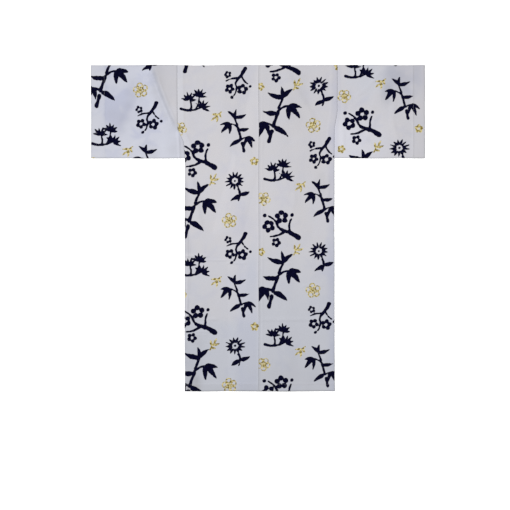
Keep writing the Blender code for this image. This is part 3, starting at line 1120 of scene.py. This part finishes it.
def stitch_row(surface, sign, side, xs, ys):
    """Points of a row of small raised stitches on a panel whose outer side is up or down."""
    xs, ys = np.broadcast_arrays(xs, ys)
    zs = surface(sign, xs, ys)[0] + (UNDER_STITCH if side < 0 else 0.0)
    xs, ys = drifted(xs, ys)
    reach = np.concatenate([[0], np.cumsum(np.hypot(np.diff(xs), np.diff(ys)))])
    middles = np.arange(STITCH_PITCH / 2, reach[-1], STITCH_PITCH)
    place = middles[:, None] + STITCH_RINGS * STITCH_LENGTH
    ahead = np.minimum(place + STITCH_LENGTH / 2, reach[-1])
    x, y, z = (np.interp(place, reach, part) for part in (xs, ys, zs))
    run_x = np.interp(ahead, reach, xs) - x
    run_y = np.interp(ahead, reach, ys) - y
    span = np.maximum(np.hypot(run_x, run_y), 1e-9)
    bow = np.sqrt(1 - (2 * STITCH_RINGS) ** 2)
    radius = STITCH_RADIUS * (STITCH_TAPER + (1 - STITCH_TAPER) * bow)[:, None]
    turn = 2 * math.pi * np.arange(STITCH_SIDES) / STITCH_SIDES
    off = radius * np.cos(turn)
    across = x[..., None] - off * (run_y / span)[..., None]
    along = y[..., None] + off * (run_x / span)[..., None]
    up = (z + side * STITCH_RADIUS * (bow - STITCH_SINK))[..., None] + radius * np.sin(turn)
    return np.stack([across, along, up], axis=-1).reshape(-1, 3)


def stitch_faces():
    """Faces of one stitch: its sides, ring by ring, and its two ends."""
    last = (len(STITCH_RINGS) - 1) * STITCH_SIDES
    faces = []
    for first in range(0, last, STITCH_SIDES):
        for k in range(STITCH_SIDES):
            a, b = first + k, first + (k + 1) % STITCH_SIDES
            faces.append((a, b, b + STITCH_SIDES, a + STITCH_SIDES))
    return [*faces, range(STITCH_SIDES - 1, -1, -1), range(last, last + STITCH_SIDES)]


def make_stitching(name, rows, material):
    """One mesh of several rows of stitches."""
    points = np.concatenate(rows)
    starts = range(0, len(points), len(STITCH_RINGS) * STITCH_SIDES)
    faces = [[start + i for i in face] for start in starts for face in stitch_faces()]
    mesh = bpy.data.meshes.new(name)
    mesh.from_pydata(points, [], faces)
    mesh.shade_smooth()
    mesh.materials.append(material)
    piece = add_object(name, mesh)
    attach(piece, "root")


def hem_stitches():
    """Rows along the hem of both backs and both fronts."""
    rows = []
    for surface, side, count in ((body_back, 1, 160), (body_front, -1, 120)):
        for sign in (-1, 1):
            side_seam = side_x(sign, HEM_Y)
            inner = CENTRE_X if side > 0 else side_seam - sign * FRONT_WIDTH
            xs = np.linspace(side_seam - sign * 0.004, inner + sign * 0.003, count)
            rows.append(stitch_row(surface, sign, side, xs, HEM_Y + HEM_WIDTH))
    return rows


def mouth_stitches(sign):
    """Rows along a sleeve's mouth, on its back and its front."""
    x = sign * (MOUTH_X - MOUTH_HEM[sign])
    ys = np.linspace(SLEEVE_FOOT_Y + 0.003, TOP_Y - 0.005, 160)
    back = stitch_row(sleeve_back, sign, 1, x, ys)
    return [back, stitch_row(sleeve_front, sign, -1, x, ys)]


# Materials
COTTON = (0.424, 0.421, 0.45, 1.0)
COTTON_WARM = (0.433, 0.425, 0.443, 1.0)
SLUB = (0.25, 0.25, 0.29, 1.0)
THREAD = (0.47, 0.465, 0.495, 1.0)
THREAD_DARK = (0.44, 0.44, 0.48, 1.0)
FLOOR = (0.97, 0.97, 0.97, 1.0)
LAYERS = (
    Layer("pale", 1.0, (0.466, 0.476, 0.519, 1.0)),
    Layer("bright", 1.0, (0.47, 0.471, 0.512, 1.0)),
    # a cool tint, and painted shade that darkens the backs towards the hem
    Layer("cool", 1.0, (0.39, 0.402, 0.444, 1.0)),
    # the layers below showing through, and painted bluish shade beside the side seams and in some
    # patches
    Layer("ghost", 0.36, (0.212, 0.24, 0.41, 1.0)),
    Layer("shade", 1.0, (0.254, 0.253, 0.27, 1.0)),
    Layer("soil", 0.3, (0.31, 0.27, 0.245, 1.0)),
)
# The last four numbers are of the noise that wears an ink: cells a metre, detail and range
GOLD = Ink("gold", (0.122, 0.089, 0.012, 1.0), (0.512, 0.44, 0.218, 1.0), 130.0, 3.0, 0.4, 0.61)
NAVY = Ink("navy", (0.0005, 0.0005, 0.0085, 1.0), (0.0022, 0.0026, 0.019, 1.0), 90.0, 4.0, 0.45, 0.75)
INK_EDGE = 0.0003
BLEED = 0.0024
PRINT_ON_REVERSE = 0.55
THREAD_PITCH = 0.0011
WEAVE_HEIGHT = 0.00003


class Graph:
    """One material and its nodes, by short names."""

    def __init__(self, name):
        self.material = bpy.data.materials.new(name)
        self.material.use_nodes = True
        self.tree = self.material.node_tree

    def join(self, value, socket):
        if isinstance(value, bpy.types.NodeSocket):
            self.tree.links.new(value, socket)
        else:
            socket.default_value = value

    def node(self, kind, inputs, output=0, **settings):
        """An output of a new node with these inputs and settings."""
        node = self.tree.nodes.new("ShaderNode" + kind)
        for setting, value in settings.items():
            setattr(node, setting, value)
        for socket, value in inputs.items():
            self.join(value, node.inputs[socket])
        return node.outputs[output]

    def shade(self, inputs):
        for socket, value in inputs.items():
            self.join(value, self.tree.nodes["Principled BSDF"].inputs[socket])
        return self.material

    def attribute(self, name, output="Fac"):
        return self.node("Attribute", {}, output, attribute_name=name)

    def math(self, operation, *values):
        return self.node("Math", dict(enumerate(values)), operation=operation)

    def times(self, first, second):
        return self.math("MULTIPLY", first, second)

    def plus(self, first, second):
        return self.math("ADD", first, second)

    def ramp(self, value, low, high, to_low=0.0, to_high=1.0):
        """The value, with the range from low to high brought to the range from to_low to to_high."""
        return self.node("MapRange", dict(enumerate((value, low, high, to_low, to_high))))

    def mix(self, share, first, second):
        return self.node("Mix", {0: share, 6: first, 7: second}, 2, data_type="RGBA")

    def noise(self, vector, scale, detail=2.0, stretch=None):
        """Noise from 0 to 1, with this many cells a metre."""
        if stretch:
            vector = self.node("Mapping", {"Vector": vector, "Scale": stretch})
        return self.node("TexNoise", {"Vector": vector, "Scale": scale, "Detail": detail}, "Fac")

    def bump(self, height, distance, strength, **normal):
        inputs = {"Height": height, "Distance": distance, "Strength": strength, **normal}
        return self.node("Bump", inputs)


def weave(graph, bolt):
    """Height of a plain weave: threads over and under each other, a little uneven."""
    shift = graph.times(graph.noise(bolt, 260.0, 1.0), 2.4)
    waves = []
    for axis in "XY":
        turns = graph.times(graph.node("SeparateXYZ", {0: bolt}, axis), math.pi / THREAD_PITCH)
        waves.append(graph.math("SINE", graph.plus(turns, shift)))
    return graph.math("ABSOLUTE", graph.times(*waves))


def print_ink(graph, bolt, bleed, ink, below):
    """The ink where its print lies, a little worn, and elsewhere the colour below it."""
    on_side = graph.ramp(graph.attribute("reverse"), 0.0, 1.0, 1.0, PRINT_ON_REVERSE)
    edge = graph.ramp(graph.plus(graph.attribute(ink.name), bleed), INK_EDGE, -INK_EDGE)
    worn = graph.ramp(graph.noise(bolt, ink.cells, ink.detail), ink.low, ink.high)
    return graph.mix(graph.times(edge, on_side), below, graph.mix(worn, ink.colour, ink.worn))


def cotton_material(name):
    """Pale plain-weave cotton with the print, the layers seen through it and its weave."""
    graph = Graph(name)
    bolt = graph.attribute("bolt", "Vector")
    cloudy = graph.ramp(graph.noise(bolt, 14.0, 4.0), 0.35, 0.65)
    colour = graph.mix(cloudy, COTTON, COTTON_WARM)
    for layer in LAYERS:
        share = graph.times(graph.attribute(layer.mark), layer.share)
        colour = graph.mix(share, colour, layer.colour)
    threads = [
        graph.times(graph.ramp(graph.noise(bolt, 1.0, 3.0, stretch), 0.3, 0.7), 0.5)
        for stretch in ((900.0, 26.0, 1.0), (26.0, 900.0, 1.0))
    ]
    slub = graph.plus(*threads)
    colour = graph.mix(graph.ramp(slub, 0.0, 1.0, 0.055, 0.0), colour, SLUB)
    stray = graph.math("SUBTRACT", graph.noise(bolt, 420.0, 3.0), 0.5)
    bleed = graph.times(stray, BLEED)
    for ink in (GOLD, NAVY):
        colour = print_ink(graph, bolt, bleed, ink, colour)
    soft = graph.bump(graph.noise(bolt, 38.0, 4.0), 0.00045, 0.35)
    slubbed = graph.bump(slub, 0.00008, 0.6, Normal=soft)
    surface = {
        "Base Color": colour,
        "Roughness": graph.ramp(slub, 0.0, 1.0, 0.84, 0.94),
        "Sheen Weight": 0.015,
        "Sheen Roughness": 0.45,
        "Specular IOR Level": 0.04,
        "Normal": graph.bump(weave(graph, bolt), WEAVE_HEIGHT, 0.7, Normal=slubbed),
    }
    return graph.shade(surface)


def thread_material():
    graph = Graph("sewing_thread")
    twist = graph.noise(graph.node("TexCoord", {}, "Object"), 2600.0)
    surface = {
        "Base Color": graph.mix(twist, THREAD, THREAD_DARK),
        "Roughness": 0.7,
        "Sheen Weight": 0.1,
        "Normal": graph.bump(twist, 0.00005, 0.5),
    }
    return graph.shade(surface)


# Camera, floor and light
PHOTO_PIXEL = 0.004  # metres across one pixel of the photograph
PHOTO_SIDE = 510
PHOTO_CENTRE = (-0.011, -0.108)  # point under the middle of the photograph
LENS = 100.0
SENSOR = 36.0
FLOOR_HALF = 12.0
FLOOR_Z = -0.0003
ROOM = (0.97, 0.985, 1.0, 1.0)
ROOM_STRENGTH = 0.335


def make_camera():
    """A long lens straight above, whose pixels are those of the photograph."""
    lens = bpy.data.cameras.new("camera")
    lens.lens = LENS
    lens.sensor_width = SENSOR
    lens.clip_end = 60.0
    distance = PHOTO_PIXEL * PHOTO_SIDE * LENS / SENSOR
    bpy.context.scene.camera = add_object("camera", lens, (*PHOTO_CENTRE, distance))


def make_floor():
    corners = [(-1, -1), (1, -1), (1, 1), (-1, 1)]
    mesh = bpy.data.meshes.new("floor")
    mesh.from_pydata([(x * FLOOR_HALF, y * FLOOR_HALF, 0) for x, y in corners], [], [range(4)])
    surface = {"Base Color": FLOOR, "Roughness": 0.95, "Specular IOR Level": 0.1}
    mesh.materials.append(Graph("floor").shade(surface))
    add_object("floor", mesh, (0, 0, FLOOR_Z))


def add_light(name, kind, place, **settings):
    """A light at this place, aimed at the middle of the floor."""
    lamp = bpy.data.lights.new(name, kind)
    for setting, value in settings.items():
        setattr(lamp, setting, value)
    light = add_object(name, lamp, place)
    light.rotation_euler = Vector(place).to_track_quat("Z", "Y").to_euler()


def make_light():
    """A soft key from the upper left, a lamp above the shoulders and a pale room."""
    world = bpy.data.worlds.new("studio")
    world.use_nodes = True
    room = world.node_tree.nodes["Background"]
    room.inputs["Color"].default_value = ROOM
    room.inputs["Strength"].default_value = ROOM_STRENGTH
    bpy.context.scene.world = world
    add_light("key", "SUN", (-3.15, 1.86, 3.41), energy=3.17, angle=0.25, color=(1.0, 0.99, 0.98))
    add_light("shoulder_lamp", "AREA", (0.0, 0.35, 1.6), energy=13.6, size=1.2, shape="DISK")
    bpy.context.scene.view_settings.view_transform = "Standard"


def main():
    make_camera()
    make_floor()
    make_light()
    cotton = cotton_material("printed_cotton")
    make_body("body_left", cotton)
    make_body("body_right", cotton)
    make_overlap("overlap_left", cotton)
    make_overlap("overlap_right", cotton)
    make_sleeve("sleeve_left", cotton)
    make_sleeve("sleeve_right", cotton)
    make_collar("collar", cotton_material("collar_cotton"))
    thread = thread_material()
    make_stitching("hem_stitches", hem_stitches(), thread)
    make_stitching("left_mouth_stitches", mouth_stitches(-1), thread)
    make_stitching("right_mouth_stitches", mouth_stitches(1), thread)


main()
